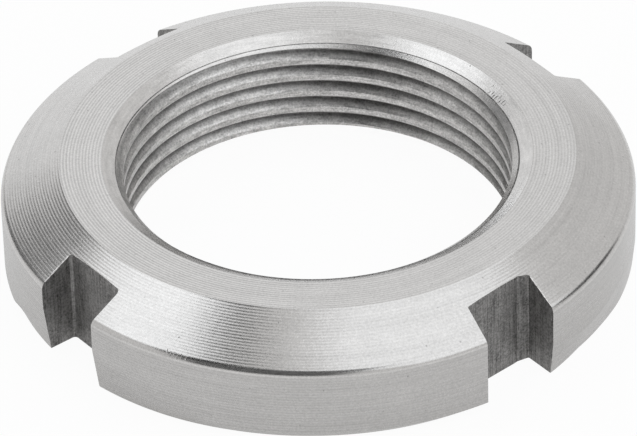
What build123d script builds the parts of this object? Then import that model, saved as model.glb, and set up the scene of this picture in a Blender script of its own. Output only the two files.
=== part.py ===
from build123d import *
import math
import os

# Bearing lock nut: a turned steel ring with a bore for an M20 x 1 thread, one
# bevelled end and four spanner slots in its rim. It is one piece. Lengths are
# in millimetres and angles in degrees. The bearing face lies on z = 0, the
# thread's axis is Z, and the bevelled end points up.

# Turned ring
outer_diameter = 32.0
thickness = 5.8
front_face_diameter = 26.0      # flat ring that the bevel leaves
bevel_slope = 30.0              # from the flat face
rim_round = 0.4                 # edge between the bevel and the rim
back_edge_round = 0.6           # edge between the rim and the bearing face

# Bore over the crests of the thread, with a lead-in chamfer at each end
bore_diameter = 19.6
chamfer_slope = 30.0            # from the flat face
front_chamfer_diameter = 21.7
back_chamfer_diameter = 21.4

# Spanner slots
slot_count = 4
first_slot_angle = 45.0
slot_width = 4.0
slot_depth = 2.0
slot_corner_radius = 0.25       # left by the corner of the cutter

# Sizes that follow
outer_radius = outer_diameter / 2
bore_radius = bore_diameter / 2
bevel_width = (outer_diameter - front_face_diameter) / 2
rim_height = thickness - bevel_width * math.tan(math.radians(bevel_slope))


def chamfer_depth(mouth_diameter):
    """How far down the bore a chamfer with this mouth reaches."""
    chamfer_width = (mouth_diameter - bore_diameter) / 2
    return chamfer_width * math.tan(math.radians(chamfer_slope))


def ring_section():
    """Section of the ring, drawn with the radius along X and the height along Y."""
    section = make_face(
        Polyline(
            (bore_radius, chamfer_depth(back_chamfer_diameter)),
            (back_chamfer_diameter / 2, 0),
            (outer_radius, 0),
            (outer_radius, rim_height),
            (front_face_diameter / 2, thickness),
            (front_chamfer_diameter / 2, thickness),
            (bore_radius, thickness - chamfer_depth(front_chamfer_diameter)),
            close=True,
        )
    )
    lower_rim_edge = section.vertices().group_by(Axis.X)[-1].sort_by(Axis.Y)[0]
    section = fillet(lower_rim_edge, back_edge_round)
    upper_rim_edge = section.vertices().group_by(Axis.X)[-1].sort_by(Axis.Y)[-1]
    return fillet(upper_rim_edge, rim_round)


def turned_ring():
    """The ring as it leaves the lathe, before its slots are milled."""
    return revolve(Plane.XZ * ring_section(), Axis.Z)


def slot_cutter():
    """Space that one spanner slot opens in the rim, in the direction of +X."""
    overrun = slot_depth
    path = Rectangle(slot_depth + overrun, slot_width, align=(Align.MIN, Align.CENTER))
    floor_corners = path.vertices().group_by(Axis.X)[0]
    path = fillet(floor_corners, slot_corner_radius)
    return extrude(Pos(outer_radius - slot_depth, 0) * path, thickness)


def lock_nut():
    nut = turned_ring()
    for place in PolarLocations(0, slot_count, start_angle=first_slot_angle):
        nut -= place * slot_cutter()
    return nut


os.makedirs("parts", exist_ok=True)
nut = lock_nut()
print("lock_nut volume", round(nut.volume, 1), "size", nut.bounding_box().size)
export_step(nut, "parts/lock_nut.step")
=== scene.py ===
# %% [markdown]
# # A bearing lock nut in bright turned steel
#
# The real nut is one ring of steel. A lathe turns its rim, its flat face, its
# bevel and the thread in its bore, and then a cutter mills four slots into
# the rim for a hook spanner. What makes it look like metal is not its colour
# but the fine marks that those tools leave, so this lesson models the marks
# that can be seen as shape, and leaves only the finest to the materials.
#
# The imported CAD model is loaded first. It fixes where everything is: the
# bearing face lies on z = 0 and the axis of the thread is Z.

# %% Load the frame
import math

import bmesh
import bpy
from mathutils import Matrix, Vector


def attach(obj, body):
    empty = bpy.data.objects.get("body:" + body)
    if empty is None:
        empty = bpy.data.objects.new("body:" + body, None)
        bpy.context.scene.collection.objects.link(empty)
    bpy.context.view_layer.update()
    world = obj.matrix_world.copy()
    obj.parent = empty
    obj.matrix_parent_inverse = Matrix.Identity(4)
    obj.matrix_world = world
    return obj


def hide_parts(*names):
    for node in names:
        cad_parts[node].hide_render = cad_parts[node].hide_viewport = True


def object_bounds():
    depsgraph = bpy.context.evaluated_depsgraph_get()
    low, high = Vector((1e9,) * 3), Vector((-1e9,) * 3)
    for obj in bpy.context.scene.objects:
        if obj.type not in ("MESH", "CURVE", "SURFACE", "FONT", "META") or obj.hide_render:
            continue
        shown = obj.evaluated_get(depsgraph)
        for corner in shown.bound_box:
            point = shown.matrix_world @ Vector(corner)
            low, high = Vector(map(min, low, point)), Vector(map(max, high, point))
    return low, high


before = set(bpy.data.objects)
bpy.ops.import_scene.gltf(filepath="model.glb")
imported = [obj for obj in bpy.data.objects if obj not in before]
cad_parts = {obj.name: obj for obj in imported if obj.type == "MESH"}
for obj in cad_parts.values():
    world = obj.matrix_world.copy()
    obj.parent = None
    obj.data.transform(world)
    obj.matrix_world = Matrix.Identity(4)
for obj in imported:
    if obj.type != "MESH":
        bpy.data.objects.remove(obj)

cad_low, cad_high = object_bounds()
print("CAD box", tuple(cad_low), tuple(cad_high))

# %% [markdown]
# ## The sizes
#
# Blender works in metres here, and a nut is easier to think about in
# millimetres, so every size below is a number of millimetres times MM. The
# overall sizes are read from the frame, so the visual model can't drift away
# from the CAD model. The others are the sizes of its turned section.
#
# The mouth of the bore has two parts in front: a smooth chamfer and, further
# in, a steeper lead of torn steel. The place where they meet is called the
# foot of the chamfer.

# %% Sizes of the nut
MM = 0.001

outer_radius = cad_high.x
thickness = cad_high.z
face_radius = 13.0 * MM           # where the bevel ends and the flat face starts
bevel_slope = math.radians(30.0)
rim_round = 0.5 * MM              # edge between the bevel and the rim
bore_radius = 9.8 * MM            # over the crests of the thread
front_chamfer_radius = 10.83 * MM
front_chamfer_slope = math.radians(28.0)
foot_radius = 10.14 * MM          # at the depth of the thread
lead_slope = math.radians(35.0)
back_chamfer_radius = 10.7 * MM
back_chamfer_slope = math.radians(30.0)

rim_height = thickness - (outer_radius - face_radius) * math.tan(bevel_slope)
foot_height = thickness - (front_chamfer_radius - foot_radius) * math.tan(front_chamfer_slope)
lead_depth = (foot_radius - bore_radius) * math.tan(lead_slope)
back_chamfer_depth = (back_chamfer_radius - bore_radius) * math.tan(back_chamfer_slope)
print("rim height", round(rim_height / MM, 3), "mm, foot height", round(foot_height / MM, 3), "mm")

# %% [markdown]
# ## Turning marks
#
# A lathe tool has a small round nose. It moves on a little with every turn of
# the work, so it leaves a row of shallow hollows with a sharp ridge between
# each two. On this nut the ridges are 0.16 mm apart. They are what the eye
# reads as turned metal: each hollow is a tiny curved mirror that spreads the
# light across the marks, but not along them.
#
# A bump texture could fake them. Real hollows in the section catch the light
# correctly from every side and come along when the mesh is exported, so each
# long cut of the section is a row of small arcs, as the tool's nose made it.

# %% Helpers that draw the turned section
feed = 0.16 * MM                  # how far the tool moves on in one turn
steps_per_mark = 4


def line_to(mesh, point, radius, height):
    """Draws a straight line on from a point of the section, which lies in the XZ plane."""
    end = mesh.verts.new((radius, 0.0, height))
    mesh.edges.new((point, end))
    return end


def arc_to(mesh, point, centre, angle, steps):
    """Spins a point of the section about a centre. The metal is inside a positive arc."""
    made = bmesh.ops.spin(
        mesh, geom=[point], cent=centre, axis=(0.0, -1.0, 0.0), dvec=(0.0, 0.0, 0.0),
        angle=angle, steps=steps, use_merge=False,
    )
    return next(item for item in made["geom_last"] if isinstance(item, bmesh.types.BMVert))


def turned_to(mesh, point, radius, height, nose):
    """Draws a cut with the tool's marks on from a point: one hollow arc for each turn of the work."""
    run = Vector((radius, 0.0, height)) - point.co
    marks = round(run.length / feed)
    half_mark = run / marks / 2
    outward = Vector((run.z, 0.0, -run.x)).normalized()
    to_centre = half_mark + outward * math.sqrt(nose ** 2 - half_mark.length_squared)
    turn = 2.0 * math.asin(half_mark.length / nose)
    for _ in range(marks):
        point = arc_to(mesh, point, point.co + to_centre, -turn, steps_per_mark)
    return point


# %% [markdown]
# ## The ring
#
# Anything turned is a section spun about an axis. The section is drawn once,
# walking round it with the metal always on the left, and spun a full turn.
# The rounded edge above the rim is an arc too.
#
# The tool that cut the chamfer dug in a little where it stopped. That left a
# fine dark line at the foot, which is a small V in the section, and painted
# shade in its material darkens it further. Below it the lead runs straight
# down to the crests of the thread.

# %% Turn the ring
ring_steps = 288
bevel_nose_radius = 0.75 * MM
face_nose_radius = 0.5 * MM
rim_nose_radius = 1.6 * MM        # the rim was turned with a blunter tool
corner_steps = 6
foot_line_width = 0.04 * MM       # half the width of the line, and its depth
seam_gap = 0.0001 * MM            # points of the seam closer than this are one point


def turned_ring():
    """The ring as it leaves the lathe, with a plain bore and no slots."""
    mesh = bmesh.new()
    point = mesh.verts.new((bore_radius, 0.0, back_chamfer_depth))
    point = line_to(mesh, point, back_chamfer_radius, 0.0)
    point = line_to(mesh, point, outer_radius, 0.0)

    corner_turn = math.pi / 2 - bevel_slope
    corner_start = rim_height - rim_round * math.tan(corner_turn / 2)
    point = turned_to(mesh, point, outer_radius, corner_start, rim_nose_radius)
    centre = (outer_radius - rim_round, 0.0, corner_start)
    point = arc_to(mesh, point, centre, corner_turn, corner_steps)
    point = turned_to(mesh, point, face_radius, thickness, bevel_nose_radius)
    point = turned_to(mesh, point, front_chamfer_radius, thickness, face_nose_radius)

    point = line_to(mesh, point, foot_radius + foot_line_width, foot_height)
    point = line_to(mesh, point, foot_radius, foot_height - foot_line_width)
    point = line_to(mesh, point, foot_radius - foot_line_width, foot_height)
    point = line_to(mesh, point, bore_radius, foot_height - lead_depth)
    line_to(mesh, point, bore_radius, back_chamfer_depth)

    bmesh.ops.spin(
        mesh, geom=mesh.verts[:] + mesh.edges[:], cent=(0.0, 0.0, 0.0), axis=(0.0, 0.0, 1.0),
        dvec=(0.0, 0.0, 0.0), angle=math.tau, steps=ring_steps, use_merge=True,
    )
    bmesh.ops.remove_doubles(mesh, verts=mesh.verts[:], dist=seam_gap)
    return mesh


ring_mesh = turned_ring()
print("ring faces", len(ring_mesh.faces))

# %% [markdown]
# ## The dressed edge
#
# The edge between the rim and the bearing face was taken off by hand, widely
# on one side of the nut and hardly at all on the other. A Bevel would be the
# same all round, so the points of the rim are moved instead. A short table
# says how far in and how high up the edge is dressed at some azimuths, and
# between two of them the values change steadily.
#
# A spin can turn faces inside out, so the normals are worked out afterwards.

# %% Dress the back edge
rim_skin = 0.1 * MM               # a point less deep than this under the outer radius is on the rim

# azimuth in degrees, and how far in and how high up the edge is dressed there, in mm
EDGE_DRESSING = (
    (-180.0, 0.20, 0.30),
    (-165.0, 0.20, 0.30),
    (-157.0, 0.30, 0.30),
    (-149.0, 0.32, 1.20),
    (-141.0, 0.35, 3.00),
    (-128.0, 0.31, 2.40),
    (-110.0, 0.36, 0.80),
    (-100.0, 0.41, 0.50),
    (-70.0, 0.43, 0.45),
    (-51.0, 0.50, 0.40),
    (-39.0, 0.20, 2.00),
    (-29.0, 0.38, 1.30),
    (-21.0, 0.30, 1.40),
    (-13.0, 0.16, 1.50),
    (0.0, 0.10, 1.00),
    (60.0, 0.15, 0.60),
    (180.0, 0.20, 0.30),
)


def dressing_at(azimuth):
    """Width and height of the dressed edge at an azimuth, between the rows of the table."""
    for (start, *sizes), (end, *next_sizes) in zip(EDGE_DRESSING, EDGE_DRESSING[1:]):
        if start <= azimuth <= end:
            share = (azimuth - start) / (end - start)
            return [(size + share * (later - size)) * MM for size, later in zip(sizes, next_sizes)]


def dress_back_edge(mesh):
    """Leans the lower part of the rim inwards."""
    for vert in mesh.verts:
        width, height = dressing_at(math.degrees(math.atan2(vert.co.y, vert.co.x)))
        radius = vert.co.xy.length
        if radius > outer_radius - rim_skin and vert.co.z < height:
            vert.co.xy *= 1.0 - width * (1.0 - vert.co.z / height) / radius


dress_back_edge(ring_mesh)
bmesh.ops.recalc_face_normals(ring_mesh, faces=ring_mesh.faces[:])
print("dressed edge in front", [round(size / MM, 2) for size in dressing_at(-90.0)], "mm")

# %% [markdown]
# ## The thread
#
# The bore carries an M20 x 1 right-hand thread: one groove that climbs by its
# pitch in each turn. A spin that also moves along its axis makes exactly that
# path, so the cutter is the section of the groove, a face with four corners,
# spun about Z with a step up each time. It starts below the ring and ends
# above it, so the cut gives the thread its true run-out at the chamfers.
#
# Both flanks of a new groove lean by 30 degrees. Here the lower one is worn
# open, so each crest is rounded towards its upper side, and the root between
# the flanks is a narrow flat.

# %% Make the thread cutter
pitch = 1.0 * MM
thread_root_radius = foot_radius
thread_cutter_radius = 9.7 * MM   # inside the bore, so the cut goes right through its wall
upper_flank = math.radians(30.0)
lower_flank = math.radians(48.0)
root_width = 0.10 * MM
root_height_at_x = 4.896 * MM     # of the topmost turn, on the +X side
thread_turns = 7
steps_per_turn = 120


def thread_cutter():
    """The groove of the thread as a solid coil."""
    mesh = bmesh.new()
    depth = thread_root_radius - thread_cutter_radius
    top = root_height_at_x - (thread_turns - 1) * pitch
    bottom = top - root_width
    corners = (
        mesh.verts.new((thread_root_radius, 0.0, top)),
        mesh.verts.new((thread_cutter_radius, 0.0, top + depth * math.tan(upper_flank))),
        mesh.verts.new((thread_cutter_radius, 0.0, bottom - depth * math.tan(lower_flank))),
        mesh.verts.new((thread_root_radius, 0.0, bottom)),
    )
    bmesh.ops.spin(
        mesh, geom=[mesh.faces.new(corners)], cent=(0.0, 0.0, 0.0), axis=(0.0, 0.0, 1.0),
        dvec=(0.0, 0.0, pitch / steps_per_turn), angle=thread_turns * math.tau,
        steps=thread_turns * steps_per_turn, use_merge=False,
    )
    bmesh.ops.recalc_face_normals(mesh, faces=mesh.faces[:])
    return mesh


thread_mesh = thread_cutter()
print("thread cutter faces", len(thread_mesh.faces))

# %% [markdown]
# ## The spanner slots
#
# A square cutter mills each slot in one pass across the rim, so a slot has a
# flat floor, two parallel walls and small rounds in the corners between them.
# No two slots of the real nut are quite alike. One was milled a little
# askew: its floor leans, one wall opens outwards, and the cutter left a
# narrow facet on the floor, beside the other wall.
#
# The cutter is drawn from above, as a flat outline across the X axis. The two
# corners at the ends of its floor are rounded, then it is extruded upwards and
# turned to the place of its slot.

# %% Make the slot cutters
slot_count = 4
first_slot_angle = math.radians(45.0)
slot_half_width = 2.0 * MM
slot_floor_radius = 14.0 * MM
slot_corner_radii = (0.12 * MM, 0.12 * MM, 0.20 * MM, 0.06 * MM)
slot_corner_segments = 4
askew_slot = 3
askew_half_mouth = 2.45 * MM      # half of the mouth, on the side of the wall that opens
overcut = 1.0 * MM                # how far the cutters reach below and above the ring

# distance from the axis and place across the slot, from one end of the floor to the other
STRAIGHT_FLOOR = (
    (slot_floor_radius, slot_half_width),
    (slot_floor_radius, -slot_half_width),
)
ASKEW_FLOOR = (
    (slot_floor_radius, slot_half_width),
    (13.87 * MM, 1.36 * MM),
    (13.90 * MM, 1.20 * MM),
    (14.06 * MM, -1.93 * MM),
)


def turn_to_slot(number):
    """The turn about Z that takes something from the X axis to a slot."""
    return Matrix.Rotation(first_slot_angle + number * math.tau / slot_count, 4, "Z")


def slot_outline(mesh, askew):
    """The outline of a slot as one face. Also gives the two corners at the ends of its floor."""
    outside = outer_radius + 2.0 * overcut
    half_mouth = askew_half_mouth if askew else slot_half_width
    floor_points = ASKEW_FLOOR if askew else STRAIGHT_FLOOR
    points = [(outside, -half_mouth), (outside, slot_half_width), *floor_points]
    verts = [mesh.verts.new((x, y, -overcut)) for x, y in points]
    return mesh.faces.new(verts), [verts[2], verts[-1]]


def slot_cutter():
    """All four slot cutters in one mesh."""
    mesh = bmesh.new()
    for number, corner_radius in enumerate(slot_corner_radii):
        before = set(mesh.verts)
        outline, floor_corners = slot_outline(mesh, number == askew_slot)
        bmesh.ops.bevel(
            mesh, geom=floor_corners, offset=corner_radius, segments=slot_corner_segments,
            profile=0.5, affect="VERTICES", material=-1,
        )
        outline = next(face for face in mesh.faces if not before & set(face.verts))
        made = bmesh.ops.extrude_face_region(mesh, geom=[outline])["geom"]
        top = [item for item in made if isinstance(item, bmesh.types.BMVert)]
        bmesh.ops.translate(mesh, vec=(0.0, 0.0, thickness + 2.0 * overcut), verts=top)
        new_verts = [vert for vert in mesh.verts if vert not in before]
        bmesh.ops.transform(mesh, matrix=turn_to_slot(number), verts=new_verts)
    bmesh.ops.recalc_face_normals(mesh, faces=mesh.faces[:])
    return mesh


slot_mesh = slot_cutter()
print("slot cutter faces", len(slot_mesh.faces))

# %% [markdown]
# ## Burrs
#
# The milling cutter pushes a little steel over the edge where it leaves the
# metal. On two slots such a burr is still there, and shows as a thin bright
# line along the upper edge of a wall. A painted glint in its material makes it
# brighter. It is a bead that follows the edge: a small ring of points, extruded
# in short steps down the bevel. Two sine waves that don't keep step with each
# other let it swell and thin along its way. It lies a little inside the metal,
# so that only its top stands out.

# %% Make the burrs
burr_steps = 12
burr_segments = 8
burr_start = 0.15 * MM            # from the floor of the slot
burr_length = 1.5 * MM
burr_inset = 0.006 * MM           # how far its middle lies inside the wall
burr_drop = 0.004 * MM            # and below the bevel


def height_on_bevel(radius):
    return thickness - (radius - face_radius) * math.tan(bevel_slope)


def burr_place(slot, side, radius, step):
    """Where one ring of a burr lies: the matrix for a flat ring with a radius of 1."""
    x = slot_floor_radius + burr_start + burr_length * step / burr_steps
    y = side * (slot_half_width + burr_inset)
    spot = Vector((x, y, height_on_bevel(math.hypot(x, y)) - burr_drop))
    size = radius * (0.75 + 0.25 * math.sin(2.6 * step) + 0.2 * math.sin(5.3 * step + slot))
    upright = Matrix.Rotation(math.pi / 2, 4, "Y")
    return turn_to_slot(slot) @ (Matrix.Translation(spot) @ upright @ Matrix.Scale(size, 4))


def burr(mesh, slot, side, radius):
    """A bead along the upper edge of one wall of a slot. side is -1 or 1, as seen from outside."""
    places = [burr_place(slot, side, radius, step) for step in range(burr_steps + 1)]
    ring = bmesh.ops.create_circle(mesh, cap_ends=True, segments=burr_segments, radius=1.0)["verts"]
    first_cap = next(iter(ring[0].link_faces))
    bmesh.ops.transform(mesh, matrix=places[0], verts=ring)
    face = first_cap
    for place, next_place in zip(places, places[1:]):
        made = bmesh.ops.extrude_face_region(mesh, geom=[face])["geom"]
        if face is not first_cap:
            bmesh.ops.delete(mesh, geom=[face], context="FACES_ONLY")
        face = next(item for item in made if isinstance(item, bmesh.types.BMFace))
        ring = [item for item in made if isinstance(item, bmesh.types.BMVert)]
        bmesh.ops.transform(mesh, matrix=place.inverted(), verts=ring)
        bmesh.ops.transform(mesh, matrix=next_place, verts=ring)


burr_mesh = bmesh.new()
burr(burr_mesh, slot=3, side=1, radius=0.038 * MM)
burr(burr_mesh, slot=2, side=-1, radius=0.04 * MM)
bmesh.ops.recalc_face_normals(burr_mesh, faces=burr_mesh.faces[:])
print("burr faces", len(burr_mesh.faces))

# %% [markdown]
# ## Nicks
#
# Loose nuts knock against each other in their box, so the edges carry small
# nicks. Each is a tiny egg pressed into the metal. Some are single and lie on
# the edges, the flat face and the rim. Others lie in rows: torn strokes on the
# edge between the bevel and the rim, dents along the outer edge of one slot
# wall, and last a smear on the chamfer, where the steel was pushed over.
#
# An egg lies flat on its surface, so each row also says how that leans: 0 is
# the rim, 60 the bevel, 90 the flat face and 120 the chamfer.

# %% Make the nicks
nick_depth = 0.06 * MM
slot_edge_azimuth = -37.9         # of the slot wall whose outer edge is nicked

# azimuth, radius, height, lean, length across the turning marks and along them, in degrees and mm
NICKS = (
    (-113.0, 15.57, 4.38, 60, 0.06, 0.07),
    (-111.4, 15.795, 4.22, 50, 0.40, 0.10),
    (-110.6, 15.875, 4.14, 40, 0.45, 0.10),
    (-109.9, 15.835, 4.20, 45, 0.45, 0.10),
    (-109.2, 15.895, 4.10, 40, 0.40, 0.10),
    (-108.5, 15.875, 4.12, 40, 0.36, 0.10),
    (-107.6, 15.895, 4.10, 40, 0.30, 0.10),
    (-131.0, 15.90, 4.08, 30, 0.10, 0.16),
    (-101.0, 13.00, 5.83, 75, 0.10, 0.12),
    (-88.8, 12.86, 5.85, 90, 0.10, 0.30),
    (-87.0, 12.76, 5.85, 90, 0.12, 0.09),
    (-121.6, 12.30, 5.85, 90, 0.12, 0.12),
    (-89.0, 16.05, 3.52, 0, 0.08, 0.10),
    (-75.3, 16.05, 3.09, 0, 0.10, 0.10),
    (-73.5, 16.05, 0.62, 0, 0.10, 0.10),
    (slot_edge_azimuth, 15.88, 3.40, 0, 0.35, 0.14),
    (slot_edge_azimuth, 15.88, 2.40, 0, 0.50, 0.10),
    (slot_edge_azimuth, 15.88, 1.20, 0, 0.40, 0.13),
    (slot_edge_azimuth, 15.86, 0.70, 0, 0.22, 0.14),
    (29.9, 10.36, 5.580, 120, 0.30, 0.06),
    (31.1, 10.40, 5.601, 120, 0.46, 0.08),
    (32.2, 10.28, 5.537, 120, 0.40, 0.10),
    (33.3, 10.42, 5.612, 120, 0.40, 0.07),
    (34.4, 10.30, 5.547, 120, 0.50, 0.10),
    (35.5, 10.26, 5.526, 120, 0.36, 0.12),
    (36.5, 10.34, 5.569, 120, 0.40, 0.07),
    (37.7, 10.26, 5.526, 120, 0.30, 0.09),
)


def nick_cutter():
    """All nicks in one mesh."""
    mesh = bmesh.new()
    for azimuth, radius, height, lean, across, along in NICKS:
        place = Matrix.Rotation(math.radians(azimuth), 4, "Z")
        place = place @ Matrix.Translation((radius * MM, 0.0, height * MM))
        place = place @ Matrix.Rotation(math.radians(-lean), 4, "Y")
        place = place @ Matrix.Diagonal((nick_depth, along * MM / 2, across * MM / 2, 1.0))
        bmesh.ops.create_icosphere(mesh, subdivisions=2, radius=1.0, matrix=place)
    bmesh.ops.recalc_face_normals(mesh, faces=mesh.faces[:])
    return mesh


nick_mesh = nick_cutter()
print("nick cutter faces", len(nick_mesh.faces))

# %% [markdown]
# ## Which tool made a face
#
# A mesh has a list of materials, and each of its faces the number of one of
# them. Every tool gets a material of its own here, which is empty until the
# finishes are built. The faces of the plain ring are told apart by where they
# lie. The small V at the foot of the chamfer gets the slots' material, and so
# does a nick at the edge of a slot or on the chamfer. That material's painted
# shade darkens them. A nick elsewhere is as bright as the rim.

# %% Finish of each face
FINISHES = (
    "turned_bevel",
    "turned_face",
    "turned_rim",
    "smooth_chamfer",
    "threaded_bore",
    "milled_slot_painted_shade",
    "bearing_side",
    "fresh_burr_painted_glint",
)
finish_materials = {name: bpy.data.materials.new(name) for name in FINISHES}

straight_down = -0.95             # a normal with a lower z than this points down
crest_margin = 0.02 * MM          # a face this near to the bore's wall is on it
rim_margin = 0.01 * MM            # and one this near to the outer radius is on the rim
slot_edge_margin = 1.0            # degrees


def finish_of_ring(face):
    """Which finish a face of the plain ring has."""
    centre = face.calc_center_median()
    radius = math.hypot(centre.x, centre.y)
    if face.normal.z < straight_down:
        return "bearing_side"
    if radius < bore_radius + crest_margin:
        return "threaded_bore"
    # The small V at the foot gets the slots' material, whose painted shade darkens the line.
    near_foot = abs(radius - foot_radius) < foot_line_width
    if near_foot and foot_height - foot_line_width < centre.z < foot_height:
        return "milled_slot_painted_shade"
    if radius < front_chamfer_radius:
        return "smooth_chamfer"
    if radius < face_radius:
        return "turned_face"
    if centre.z > rim_height - rim_round and radius < outer_radius - rim_margin:
        return "turned_bevel"
    return "turned_rim"


def finish_of_nick(face):
    """Which finish a face of a nick has."""
    centre = face.calc_center_median()
    azimuth = math.degrees(math.atan2(centre.y, centre.x))
    at_slot = abs(azimuth - slot_edge_azimuth) < slot_edge_margin
    on_chamfer = centre.xy.length < front_chamfer_radius
    # Nicks at the slot's edge and on the chamfer get the slots' material, whose painted shade darkens
    # them.
    return "milled_slot_painted_shade" if at_slot or on_chamfer else "turned_rim"


print("finishes", ", ".join(FINISHES))

# %% [markdown]
# ## From a bmesh to an object
#
# So far the ring and its cutters are loose meshes. To be seen, or to cut, each
# has to become an object of the scene.

# %% Make the ring an object
def add_to_scene(name, data):
    """Makes an object of a mesh, a lamp or a camera and puts it in the scene."""
    thing = bpy.data.objects.new(name, data)
    bpy.context.scene.collection.objects.link(thing)
    return thing


def plain_object(name, mesh):
    """Writes a bmesh to a new object."""
    data = bpy.data.meshes.new(name)
    mesh.to_mesh(data)
    mesh.free()
    return add_to_scene(name, data)


def steel_object(name, mesh, finish_of):
    """Writes a bmesh to a new object whose faces have the finish that finish_of gives."""
    for face in mesh.faces:
        face.material_index = FINISHES.index(finish_of(face))
        face.smooth = True
    thing = plain_object(name, mesh)
    for finish in FINISHES:
        thing.data.materials.append(finish_materials[finish])
    return thing


lock_nut = steel_object("turned_nut", ring_mesh, finish_of_ring)
print("ring", tuple(lock_nut.dimensions))

# %% [markdown]
# ## Cutting the metal
#
# The Boolean modifier takes one mesh out of another or joins the two. It is
# used in the order in which the real nut came about: the thread is cut, the
# slots are milled, their burrs are joined on, and the nicks come last. Each
# surface keeps the material of the tool that made it. A cutter is used up by
# its cut, and the result is written back as a plain mesh, so nothing is left
# live on the finished piece.
#
# The cuts leave some points almost on top of each other. These are merged at
# the end, and a count of the edges without exactly two faces shows whether
# the mesh is still closed. Where two faces meet at a larger angle than in the
# hollows of the turning marks, a tool has cut an edge, and it is drawn sharp.

# %% Cut the nut
speck = 0.0005 * MM               # points closer than this are one point
sharp_angle = math.radians(15.0)


def combine(thing, other, operation):
    """Adds the shape of another object to a thing, or takes it out, and removes the other object."""
    boolean = thing.modifiers.new("combine", "BOOLEAN")
    boolean.operation = operation
    boolean.solver = "EXACT"
    boolean.object = other
    graph = bpy.context.evaluated_depsgraph_get()
    result = bpy.data.meshes.new_from_object(thing.evaluated_get(graph))
    thing.modifiers.clear()
    thing.data = result
    bpy.data.objects.remove(other)


def clean_up(thing):
    """Merges the points that the cuts left almost on top of each other."""
    mesh = bmesh.new()
    mesh.from_mesh(thing.data)
    bmesh.ops.remove_doubles(mesh, verts=mesh.verts[:], dist=speck)
    bmesh.ops.dissolve_degenerate(mesh, edges=mesh.edges[:], dist=speck)
    print("edges without two faces", sum(len(edge.link_faces) != 2 for edge in mesh.edges))
    mesh.to_mesh(thing.data)
    mesh.free()


combine(lock_nut, steel_object("thread_cutter", thread_mesh, lambda face: "threaded_bore"), "DIFFERENCE")
combine(lock_nut, steel_object("slot_cutter", slot_mesh, lambda face: "milled_slot_painted_shade"), "DIFFERENCE")
combine(lock_nut, steel_object("burr", burr_mesh, lambda face: "fresh_burr_painted_glint"), "UNION")
combine(lock_nut, steel_object("nick_cutter", nick_mesh, finish_of_nick), "DIFFERENCE")
clean_up(lock_nut)
lock_nut.data.set_sharp_from_angle(angle=sharp_angle)
print("nut faces", len(lock_nut.data.polygons))

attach(lock_nut, "root")
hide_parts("lock_nut")

# %% [markdown]
# ## The finest marks
#
# Between the marks that are modelled there are finer ones, far too many for a
# mesh. They belong to the materials. Three patterns are used by more than one
# finish, so each is a shader node group that is built once: the marks of the
# lathe, the marks of the milling cutter, and what handling leaves.
#
# All of them read Object coordinates, which stay on the nut wherever it is
# seen from, and work in millimetres. The helpers make a node in one line.

# %% Helpers for node trees
def new_group(name, inputs, outputs):
    """A shader node group with float sockets. Gives it, its inputs and its outputs."""
    tree = bpy.data.node_groups.new(name, "ShaderNodeTree")
    for socket_name, value in inputs.items():
        socket = tree.interface.new_socket(socket_name, in_out="INPUT", socket_type="NodeSocketFloat")
        socket.default_value = value
    for socket_name in outputs:
        tree.interface.new_socket(socket_name, in_out="OUTPUT", socket_type="NodeSocketFloat")
    return tree, tree.nodes.new("NodeGroupInput").outputs, tree.nodes.new("NodeGroupOutput").inputs


def connect(tree, source, target):
    """Links a socket to another, or writes a plain value into it."""
    if isinstance(source, (int, float)):
        target.default_value = source
    else:
        tree.links.new(source, target)


def calculate(tree, operation, *values):
    """A Math node on numbers or sockets."""
    node = tree.nodes.new("ShaderNodeMath")
    node.operation = operation
    for value, socket in zip(values, node.inputs):
        connect(tree, value, socket)
    return node.outputs[0]


def total(tree, value, *others):
    for other in others:
        value = calculate(tree, "ADD", value, other)
    return value


def product(tree, value, *others):
    for other in others:
        value = calculate(tree, "MULTIPLY", value, other)
    return value


def difference(tree, value, other):
    return calculate(tree, "SUBTRACT", value, other)


def steps_between(tree, value, low, high):
    """0 at low, 1 at high and a smooth rise between them."""
    node = tree.nodes.new("ShaderNodeMapRange")
    node.interpolation_type = "SMOOTHSTEP"
    connect(tree, value, node.inputs["Value"])
    connect(tree, low, node.inputs["From Min"])
    connect(tree, high, node.inputs["From Max"])
    return node.outputs["Result"]


def place_in_mm(tree):
    """The point being shaded, in millimetres from the nut's origin."""
    place = tree.nodes.new("ShaderNodeTexCoord")
    scale = tree.nodes.new("ShaderNodeVectorMath")
    scale.operation = "SCALE"
    connect(tree, 1.0 / MM, scale.inputs["Scale"])
    connect(tree, place.outputs["Object"], scale.inputs[0])
    return scale.outputs[0]


def place_round_axis(tree):
    """Where the point being shaded lies, in millimetres: x, y, distance from the axis, and height."""
    parts = tree.nodes.new("ShaderNodeSeparateXYZ")
    connect(tree, place_in_mm(tree), parts.inputs[0])
    x, y, height = parts.outputs
    radius = calculate(tree, "SQRT", total(tree, product(tree, x, x), product(tree, y, y)))
    return x, y, radius, height


def noise_at(tree, place, scale, detail, roughness):
    """A noise texture that reads a place."""
    noise = tree.nodes.new("ShaderNodeTexNoise")
    connect(tree, place, noise.inputs["Vector"])
    connect(tree, scale, noise.inputs["Scale"])
    connect(tree, detail, noise.inputs["Detail"])
    connect(tree, roughness, noise.inputs["Roughness"])
    return noise


# %% [markdown]
# ### Marks round the axis
#
# The marks of the lathe run round the axis, and so must the noise that stands
# for them. The direction of a point seen from the axis changes slowly along a
# mark, and its radius and height change quickly across it. So the noise is
# stretched by giving it a small multiple of the direction and a large one of
# the radius and the height. Unlike an angle, a direction has no seam.
#
# The modelled hollows hold a little oil as well. A wave with the same spacing
# gives them a tone of their own. It counts the turns of the tool from the
# edge between the bevel and the face, along a surface whose slope is the
# input Lean. On the right of the nut these rings are worn and fainter.

# %% Marks round the axis
rings_fade_from = -4.0            # mm along X
rings_fade_to = 9.0
rings_worn = 0.6                  # share of the rings' strength that is lost on the right


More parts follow.
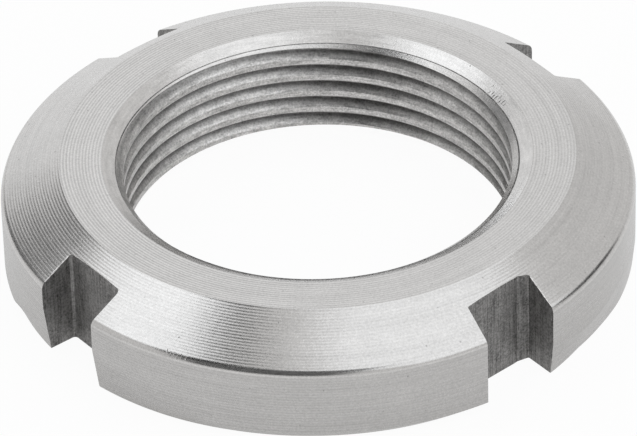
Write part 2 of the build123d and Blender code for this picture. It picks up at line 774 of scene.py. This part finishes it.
def turning_marks_group():
    """The pattern of the lathe: how many marks lie side by side, and how many follow each other."""
    tree, given, result = new_group(
        "turning_marks",
        inputs={"Marks per mm": 6.5, "Marks per radian": 1.4, "Ring strength": 0.0, "Lean": 0.0},
        outputs=["Mark"],
    )
    x, y, radius, height = place_round_axis(tree)
    along = calculate(tree, "DIVIDE", given["Marks per radian"], radius)
    spot = tree.nodes.new("ShaderNodeCombineXYZ")
    connect(tree, product(tree, x, along), spot.inputs["X"])
    connect(tree, product(tree, y, along), spot.inputs["Y"])
    connect(tree, product(tree, radius, given["Marks per mm"]), spot.inputs["Z"])
    noise = noise_at(tree, spot.outputs[0], scale=1.0, detail=2.0, roughness=0.6)
    noise.noise_dimensions = "4D"
    connect(tree, product(tree, height, given["Marks per mm"]), noise.inputs["W"])

    out = difference(tree, radius, face_radius / MM)
    down = difference(tree, thickness / MM, height)
    level_run = product(tree, out, calculate(tree, "COSINE", given["Lean"]))
    steep_run = product(tree, down, calculate(tree, "SINE", given["Lean"]))
    turns = product(tree, total(tree, level_run, steep_run), math.tau * MM / feed)
    worn = product(tree, steps_between(tree, x, rings_fade_from, rings_fade_to), rings_worn)
    strength = product(tree, difference(tree, 1.0, worn), given["Ring strength"])
    rings = product(tree, calculate(tree, "COSINE", turns), strength)
    connect(tree, total(tree, noise.outputs["Fac"], rings), result["Mark"])
    return tree


turning_marks = turning_marks_group()
print("built", turning_marks.name)

# %% [markdown]
# ### Handling
#
# A loose nut has been oiled, wiped and knocked about. That leaves soft clouds,
# a fine grain and a few small pits. The clouds and the grain are noise of two
# sizes. The pits come from a Voronoi texture, which divides space into cells,
# each with a point in it and a random colour. That colour picks the few cells
# that have a pit, and the distance from the point gives it its shape.

# %% Cloudy unevenness, grain and small pits
pit_share = 0.10                  # of the cells
pit_edge = 0.16                   # distances from the middle of a cell, as shares of its size
pit_floor = 0.06


def handling_group():
    """Patterns from 0 to 1 that handling left."""
    tree, given, result = new_group(
        "handling", inputs={"Cloud size": 2.0, "Pits per mm": 3.0}, outputs=["Cloud", "Grain", "Pit"],
    )
    place = place_in_mm(tree)
    clouds_per_mm = calculate(tree, "DIVIDE", 1.0, given["Cloud size"])
    cloud = noise_at(tree, place, clouds_per_mm, detail=3.0, roughness=0.5)
    connect(tree, cloud.outputs["Fac"], result["Cloud"])
    grain = noise_at(tree, place, scale=9.0, detail=4.0, roughness=0.7)
    connect(tree, grain.outputs["Fac"], result["Grain"])

    pits = tree.nodes.new("ShaderNodeTexVoronoi")
    connect(tree, place, pits.inputs["Vector"])
    connect(tree, given["Pits per mm"], pits.inputs["Scale"])
    chance = tree.nodes.new("ShaderNodeSeparateColor")
    connect(tree, pits.outputs["Color"], chance.inputs[0])
    rare = calculate(tree, "GREATER_THAN", chance.outputs[0], 1.0 - pit_share)
    near = steps_between(tree, pits.outputs["Distance"], pit_edge, pit_floor)
    connect(tree, product(tree, rare, near), result["Pit"])
    return tree


handling = handling_group()
print("built", handling.name)

# %% [markdown]
# ### Marks of the milling cutter
#
# The teeth of the milling cutter leave straight scratches. In a slot they run
# up and down, from the bearing face to the bevel, and each is much longer
# than it is wide. So this is noise that changes quickly along X and Y and
# slowly along Z.

# %% Marks of the milling cutter
def milling_marks_group():
    """The pattern of the milling cutter."""
    tree, given, result = new_group(
        "milling_marks", inputs={"Marks per mm": 10.0, "Marks along": 0.35}, outputs=["Mark"],
    )
    stretch = tree.nodes.new("ShaderNodeCombineXYZ")
    connect(tree, given["Marks per mm"], stretch.inputs["X"])
    connect(tree, given["Marks per mm"], stretch.inputs["Y"])
    connect(tree, given["Marks along"], stretch.inputs["Z"])
    stretched = tree.nodes.new("ShaderNodeVectorMath")
    stretched.operation = "MULTIPLY"
    connect(tree, place_in_mm(tree), stretched.inputs[0])
    connect(tree, stretch.outputs[0], stretched.inputs[1])
    noise = noise_at(tree, stretched.outputs[0], scale=1.0, detail=3.0, roughness=0.7)
    connect(tree, noise.outputs["Fac"], result["Mark"])
    return tree


milling_marks = milling_marks_group()
print("node groups", [tree.name for tree in bpy.data.node_groups])

# %% [markdown]
# ## Dirt and painted shade in the thread
#
# Oil and dust gather at the root of the groove, where no cloth reaches, and
# shade falls there too. Both are painted into the colour. The distance from the
# axis says how deep a point lies in the groove, and the deeper it lies, the darker
# it is. The lead in front is as far out as the roots are, but it is kept lighter.

# %% Dirt and painted shade in the thread
dark_from_radius = bore_radius + 0.02 * MM
dark_full_radius = thread_root_radius - 0.04 * MM
dark_below_foot = 0.45 * MM      # from here down the lead is as dark as the thread
light_below_foot = 0.10 * MM      # and from here up it is lighter
lead_lightened = 0.8                  # share of the darkening that is taken off there


def thread_dirt_and_shade(tree):
    """How much painted shade and dirt darken the colour: 1 at the roots of the thread, 0 at its crests and
    little on the lead.
    """
    _, _, radius, height = place_round_axis(tree)
    deep = steps_between(tree, radius, dark_from_radius / MM, dark_full_radius / MM)
    dark_height = (foot_height - dark_below_foot) / MM
    light_height = (foot_height - light_below_foot) / MM
    lightened = product(tree, steps_between(tree, height, dark_height, light_height), lead_lightened)
    return product(tree, deep, difference(tree, 1.0, lightened))


# %% [markdown]
# ## The finishes
#
# All of the nut is one steel, so every finish has the same metal colour, a
# neutral grey that is a touch warm. The finishes differ in what the tools left
# on the metal: how rough it is, which marks it has and how deep they are. They
# also differ in a level that scales the colour up or down, which paints light
# and shade into it. Each one is a row of such values, and one function turns a
# row into a material.

# %% Helpers for the finishes
def use_group(tree, group, **values):
    """Places a group in a tree. Marks_per_mm=8 sets its input Marks per mm to 8."""
    node = tree.nodes.new("ShaderNodeGroup")
    node.node_tree = group
    for socket_name, value in values.items():
        node.inputs[socket_name.replace("_", " ")].default_value = value
    return node.outputs


def turned(marks_per_mm, marks_per_radian, rings=0.0, lean=0.0):
    """Marks of the lathe, for a finish."""
    return lambda tree: use_group(
        tree, turning_marks, Marks_per_mm=marks_per_mm, Marks_per_radian=marks_per_radian,
        Ring_strength=rings, Lean=lean,
    )


def milled(marks_per_mm, marks_along):
    """Marks of the milling cutter, for a finish."""
    return lambda tree: use_group(tree, milling_marks, Marks_per_mm=marks_per_mm, Marks_along=marks_along)


def swing(tree, value, amount):
    """A pattern from 0 to 1 as a swing about 0 of this size."""
    return product(tree, difference(tree, value, 0.5), amount)


# %% [markdown]
# ### From a row to a material
#
# A shallow mark shows in three ways. It bends the light, which is its height
# in the Bump node. It scatters the light, which is its roughness. And old oil
# and dust sit in it, which darkens it a little.

# %% The function that builds a finish
MICRON = 0.001 * MM

steel_colour = (0.600, 0.588, 0.576)
roughness_swing = 0.1             # how far the marks change the roughness
pit_tone = 0.35                   # how much darker a pit is
pit_depth = 4.0                   # microns


def steel_finish(
    name, marks, cloud_size, pits_per_mm, roughness, mark_depth, grain_depth,
    mark_tone=0.3, cloud_tone=0.1, grain_tone=0.1, painted_light_level=1.0, groove_dirt_and_shade=0.0,
):
    """Builds the material of a finish. Sizes are in mm, depths in microns, and tones are shares."""
    material = finish_materials[name]
    material.use_nodes = True
    tree = material.node_tree
    shader = tree.nodes["Principled BSDF"]
    shader.inputs["Metallic"].default_value = 1.0
    mark = marks(tree)["Mark"]
    cloud, grain, pit = use_group(tree, handling, Cloud_size=cloud_size, Pits_per_mm=pits_per_mm)

    tone = total(
        tree, swing(tree, mark, mark_tone), swing(tree, cloud, cloud_tone), swing(tree, grain, grain_tone))
    pitted = difference(tree, total(tree, 1.0, tone), product(tree, pit, pit_tone))
    # Each finish scales its colour by its own level, which paints light and shade into it.
    level = product(tree, pitted, painted_light_level)
    # In the thread, the groove is darkened towards its root by dirt and painted shade.
    if groove_dirt_and_shade:
        undarkened = difference(tree, 1.0, product(tree, thread_dirt_and_shade(tree), groove_dirt_and_shade))
        level = product(tree, level, undarkened)
    colour = tree.nodes.new("ShaderNodeMix")
    colour.data_type = "RGBA"
    colour.blend_type = "MULTIPLY"
    colour.inputs["Factor"].default_value = 1.0
    colour.inputs["A"].default_value = (*steel_colour, 1.0)
    connect(tree, level, colour.inputs["B"])
    connect(tree, colour.outputs["Result"], shader.inputs["Base Color"])

    uneven = total(tree, swing(tree, grain, 0.5 * roughness_swing), swing(tree, mark, roughness_swing))
    connect(tree, total(tree, roughness, uneven), shader.inputs["Roughness"])

    raised = total(
        tree, product(tree, mark, mark_depth * MICRON), product(tree, grain, grain_depth * MICRON))
    bump = tree.nodes.new("ShaderNodeBump")
    bump.inputs["Distance"].default_value = 1.0
    connect(tree, difference(tree, raised, product(tree, pit, pit_depth * MICRON)), bump.inputs["Height"])
    connect(tree, bump.outputs["Normal"], shader.inputs["Normal"])


# %% [markdown]
# ### The row of each finish
#
# The bevel, the face and the rim are finely turned and differ only a little.
# The rim is painted a little darker and the face a touch lighter, as painted
# light. The chamfer has shorter marks and no rings, because its tool was pushed
# in and not fed along, and it is painted lighter. The thread is rougher, and
# darkened in its groove by dirt and painted shade. The milled slots are rough
# and streaky, and their painted shade makes them dark. A burr is fresh steel,
# and painted the brightest, as a painted glint.

# %% Build the finishes
steel_finish(
    "turned_bevel", turned(6.5, 1.4, rings=0.15, lean=bevel_slope), cloud_size=1.5, pits_per_mm=2.5,
    roughness=0.20, mark_depth=1.6, grain_depth=3.2, mark_tone=0.30, cloud_tone=0.14, grain_tone=0.7,
)
steel_finish(
    "turned_face", turned(6.5, 1.4, rings=0.50), cloud_size=1.5, pits_per_mm=2.5,
    roughness=0.24, mark_depth=2.0, grain_depth=3.5, mark_tone=0.30, cloud_tone=0.12, grain_tone=0.7,
    painted_light_level=1.01,
)
# The rim's level paints shade into it, a little darker.
steel_finish(
    "turned_rim", turned(6.0, 2.0, rings=0.20, lean=math.pi / 2), cloud_size=1.5, pits_per_mm=2.5,
    roughness=0.26, mark_depth=2.0, grain_depth=3.0, mark_tone=0.30, grain_tone=0.6,
    painted_light_level=0.89,
)
# The chamfer's level paints light into it, a little lighter.
steel_finish(
    "smooth_chamfer", turned(7.0, 8.0), cloud_size=0.6, pits_per_mm=3.0,
    roughness=0.24, mark_depth=3.0, grain_depth=7.0, mark_tone=0.5, cloud_tone=0.2, grain_tone=0.5,
    painted_light_level=1.07,
)
# Its groove is darkened by dirt and painted shade.
steel_finish(
    "threaded_bore", turned(8.0, 14.0), cloud_size=0.5, pits_per_mm=3.0,
    roughness=0.38, mark_depth=12.0, grain_depth=14.0, mark_tone=1.3, cloud_tone=0.4, grain_tone=1.8,
    groove_dirt_and_shade=0.68,
)
# The slots' low level is painted shade.
steel_finish(
    "milled_slot_painted_shade", milled(10.0, 0.35), cloud_size=0.7, pits_per_mm=3.0,
    roughness=0.58, mark_depth=6.0, grain_depth=12.0, mark_tone=1.7, cloud_tone=0.8, grain_tone=2.6,
    painted_light_level=0.50,
)
steel_finish(
    "bearing_side", turned(6.5, 1.4, rings=0.10), cloud_size=1.5, pits_per_mm=2.5,
    roughness=0.24, mark_depth=2.0, grain_depth=1.6, mark_tone=0.22, grain_tone=0.16,
)
# The burr's high level is a painted glint on fresh steel.
steel_finish(
    "fresh_burr_painted_glint", milled(10.0, 10.0), cloud_size=0.3, pits_per_mm=3.0,
    roughness=0.50, mark_depth=1.0, grain_depth=1.0, mark_tone=0.3,
    painted_light_level=1.65,
)
print("built", ", ".join(FINISHES))

# %% [markdown]
# ## The floor
#
# The photograph shows the nut on white, with hardly a shadow. A floor that is
# lit until it looks white would throw too much light on the steel from below.
# So a ray that comes straight from the camera finds nearly plain white there,
# one that the steel mirrors finds about half as much, and any other ray finds
# an ordinary pale floor. The camera still sees a little of that floor, which
# keeps the nut's shadow.
#
# The floor lies a hair below the bearing face, because two faces in the same
# place flicker.

# %% Floor
floor_reach = 1.5                 # m from the nut to its edge
floor_gap = 0.02 * MM
white_when_seen = 0.95            # share of plain white in the floor that the camera sees
white_when_mirrored = 0.5         # and in the floor that the steel mirrors

floor_mesh = bmesh.new()
bmesh.ops.create_grid(floor_mesh, x_segments=1, y_segments=1, size=floor_reach)
floor = plain_object("studio_floor", floor_mesh)
floor.location.z = -floor_gap

floor_material = bpy.data.materials.new("pale_floor")
floor_material.use_nodes = True
floor.data.materials.append(floor_material)
floor_tree = floor_material.node_tree
floor_tree.nodes.clear()
lit = floor_tree.nodes.new("ShaderNodeBsdfDiffuse")
lit.inputs["Color"].default_value = (0.92, 0.92, 0.92, 1.0)
white = floor_tree.nodes.new("ShaderNodeEmission")
white.inputs["Strength"].default_value = 1.0

path = floor_tree.nodes.new("ShaderNodeLightPath").outputs
seen = calculate(floor_tree, "MAXIMUM", path["Is Camera Ray"], path["Is Transmission Ray"])
seen = product(floor_tree, seen, white_when_seen)
mirrored = product(floor_tree, path["Is Glossy Ray"], white_when_mirrored)
mixed = floor_tree.nodes.new("ShaderNodeMixShader")
connect(floor_tree, calculate(floor_tree, "MAXIMUM", seen, mirrored), mixed.inputs[0])
connect(floor_tree, lit.outputs[0], mixed.inputs[1])
connect(floor_tree, white.outputs[0], mixed.inputs[2])
output = floor_tree.nodes.new("ShaderNodeOutputMaterial")
connect(floor_tree, mixed.outputs[0], output.inputs["Surface"])
print("floor", 2.0 * floor_reach, "m wide")

# %% [markdown]
# ## The world
#
# The walls of the studio are a plain light grey. The camera itself sees them
# as white, which is the colour of the background.

# %% World
wall_brightness = 0.765

world = bpy.data.worlds.new("studio")
bpy.context.scene.world = world
world.use_nodes = True
world_tree = world.node_tree
walls = world_tree.nodes["Background"]
walls.inputs["Color"].default_value = (1.0, 1.0, 1.0, 1.0)
world_path = world_tree.nodes.new("ShaderNodeLightPath").outputs
whiter = product(world_tree, world_path["Is Camera Ray"], 1.0 - wall_brightness)
connect(world_tree, total(world_tree, whiter, wall_brightness), walls.inputs["Strength"])
print("walls", wall_brightness)

# %% [markdown]
# ## The lamps and the cards
#
# Bright metal shows little of its own colour: it shows the room. On a turned
# ring every part of the bevel faces another way, so it mirrors another part of
# the studio, and its light and dark sectors say where the lamps stood. A
# product photographer sets such a piece between large soft boxes, and puts
# dark cards between them, so that the light sectors have dark edges.
#
# A lamp or a card is placed by its direction from the nut and by how wide and
# how high it looks from there, all in degrees.

# %% Helpers that place things round the nut
lamp_distance = 1.2
card_distance = 0.8


def direction(azimuth, elevation):
    """The unit vector that points from the nut towards an azimuth and an elevation."""
    azimuth = math.radians(azimuth)
    elevation = math.radians(elevation)
    return Vector((
        math.cos(elevation) * math.cos(azimuth),
        math.cos(elevation) * math.sin(azimuth),
        math.sin(elevation),
    ))


def place_round_nut(thing, azimuth, elevation, distance, lean=0.0):
    """Sets a thing at a direction and a distance from the nut, with its Z axis pointing away from it."""
    away = direction(azimuth, elevation)
    turn = away.to_track_quat("Z", "Y").to_matrix().to_4x4() @ Matrix.Rotation(math.radians(lean), 4, "Z")
    thing.rotation_euler = turn.to_euler()
    thing.location = away * distance


def apparent(angle, distance):
    """The size of something that looks this many degrees wide from the nut."""
    return 2.0 * distance * math.tan(math.radians(angle) / 2.0)


# %% [markdown]
# ### The lamps
#
# Each lamp is a flat area lamp, as a soft box is. What the steel mirrors is
# its brightness and not its power, so a lamp is given its brightness, where 1
# is plain white, and its power follows from that, its area and a factor of
# pi. The light is a little bluer than white, which makes up for the warm steel.

# %% Lamps
daylight = (0.91, 0.955, 1.0)


def soft_box(name, azimuth, elevation, width, height, brightness, lean=0.0):
    """A flat lamp that adds this brightness to what the nut mirrors there."""
    data = bpy.data.lights.new(name, "AREA")
    data.shape = "RECTANGLE"
    data.size = apparent(width, lamp_distance)
    data.size_y = apparent(height, lamp_distance)
    data.energy = brightness * math.pi * data.size * data.size_y
    data.color = daylight
    lamp = add_to_scene(name, data)
    place_round_nut(lamp, azimuth, elevation, lamp_distance, lean)
    return lamp


lamps = [
    soft_box("key_box", azimuth=-30, elevation=54, width=64, height=65, brightness=0.53, lean=18),
    soft_box("left_box", azimuth=179.7, elevation=60, width=46, height=26, brightness=0.72, lean=3),
    soft_box("back_box", azimuth=115, elevation=38, width=43, height=78, brightness=0.20, lean=-9),
    soft_box("low_box", azimuth=103, elevation=4, width=22, height=12, brightness=1.0),
]
print("lamps", [lamp.name for lamp in lamps])

# %% [markdown]
# ### The cards
#
# A dark card gives a light sector its edge. Cards of different greys stand
# for the dark things of the studio, such as the gaps between the soft boxes
# and the camera's own side of the room. They are matt, and stand nearer than
# the lamps, so that they can hide them.

# %% Cards
def card(name, azimuth, elevation, width, height, grey, lean=0.0):
    """A flat card that hides what the nut would mirror there."""
    mesh = bmesh.new()
    bmesh.ops.create_grid(mesh, x_segments=1, y_segments=1, size=0.5)
    size = (apparent(width, card_distance), apparent(height, card_distance), 1.0)
    bmesh.ops.scale(mesh, vec=size, verts=mesh.verts[:])
    thing = plain_object(name, mesh)
    paper = bpy.data.materials.new(name)
    paper.use_nodes = True
    shader = paper.node_tree.nodes["Principled BSDF"]
    shader.inputs["Base Color"].default_value = (grey, grey, grey, 1.0)
    shader.inputs["Specular IOR Level"].default_value = 0.0
    thing.data.materials.append(paper)
    place_round_nut(thing, azimuth, elevation, card_distance, lean)
    return thing


cards = [
    card("front_left_card", azimuth=217.5, elevation=58, width=13, height=32, grey=0.01, lean=1),
    card("left_card", azimuth=154, elevation=20, width=26.5, height=35.7, grey=0.30, lean=-27),
    card("right_card", azimuth=19, elevation=19, width=32, height=20, grey=0.12, lean=5),
    card("camera_card", azimuth=-104, elevation=38, width=55, height=54, grey=0.20),
]
print("cards", [thing.name for thing in cards])

# %% [markdown]
# ## The camera
#
# The photograph was taken from some way off with a long lens, looking down at
# about 36 degrees, and the camera leaned a little to one side. The values come
# from fitting the nut's own circles and slot corners to the photograph.

# %% Camera
photo_width = 637
focal_pixels = 5955.7
camera_distance = 301.43 * MM
camera_azimuth = -82.81
camera_elevation = 36.356
camera_roll = -1.688
aim_sideways = -0.027 * MM
aim_height = 1.702 * MM

camera_data = bpy.data.cameras.new("camera")
camera_data.sensor_width = 36.0
camera_data.lens = focal_pixels / photo_width * camera_data.sensor_width
camera_data.clip_start = 10.0 * MM
camera_data.clip_end = 10.0
camera = add_to_scene("camera", camera_data)
bpy.context.scene.camera = camera

sideways = direction(camera_azimuth + 90.0, 0.0)
outward = direction(camera_azimuth, camera_elevation)
aim = sideways * aim_sideways + Vector((0.0, 0.0, aim_height))
camera.location = aim + outward * camera_distance
look = (-outward).to_track_quat("-Z", "Y").to_matrix().to_4x4()
camera.rotation_euler = (look @ Matrix.Rotation(math.radians(camera_roll), 4, "Z")).to_euler()
print("camera at", tuple(camera.location))

# %% [markdown]
# ## Colours
#
# The Standard view shows a colour as it is written, and plain white as white.

bpy.context.scene.view_settings.view_transform = "Standard"
